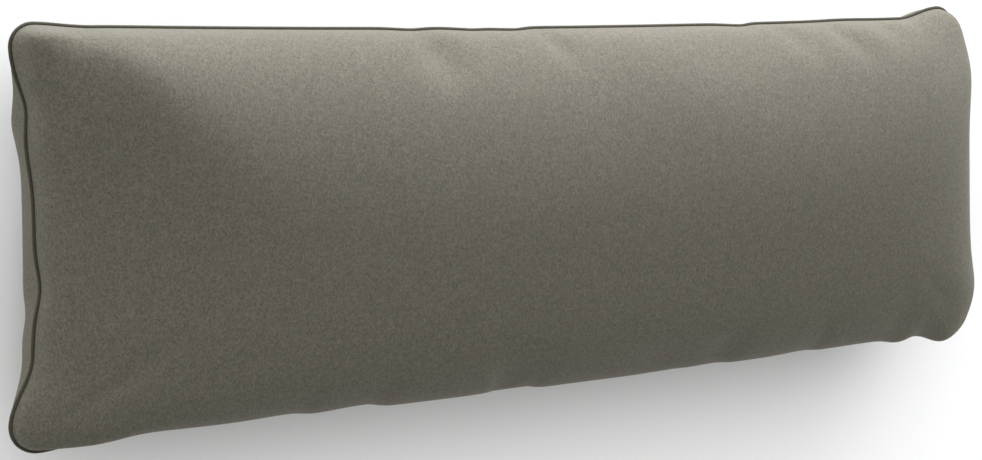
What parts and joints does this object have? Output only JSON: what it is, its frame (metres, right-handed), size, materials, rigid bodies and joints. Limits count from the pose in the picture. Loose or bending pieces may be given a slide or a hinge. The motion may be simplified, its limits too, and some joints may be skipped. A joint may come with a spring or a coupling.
{
  "type": "backrest cushion",
  "caption": "Long knife-edge back cushion of plain olive-grey cloth with tone-on-tone piping in its edge seam, filled and lying on its back.",
  "frame": {"origin": "middle of the cushion's length and width, on the floor under its flat back", "axes": "+X along the cushion, +Y towards the edge that stands uppermost in use, +Z out of the front face"},
  "size_m": [1.2118, 0.4052, 0.1728],
  "materials": {
    "cover_cloth": "matte fine plain weave, olive grey",
    "piping_cloth": "matte fine plain weave, darker olive grey"
  },
  "bodies": {
    "root": {"cushion_body": "cover_cloth", "piping": "piping_cloth"}
  },
  "joints": []
}
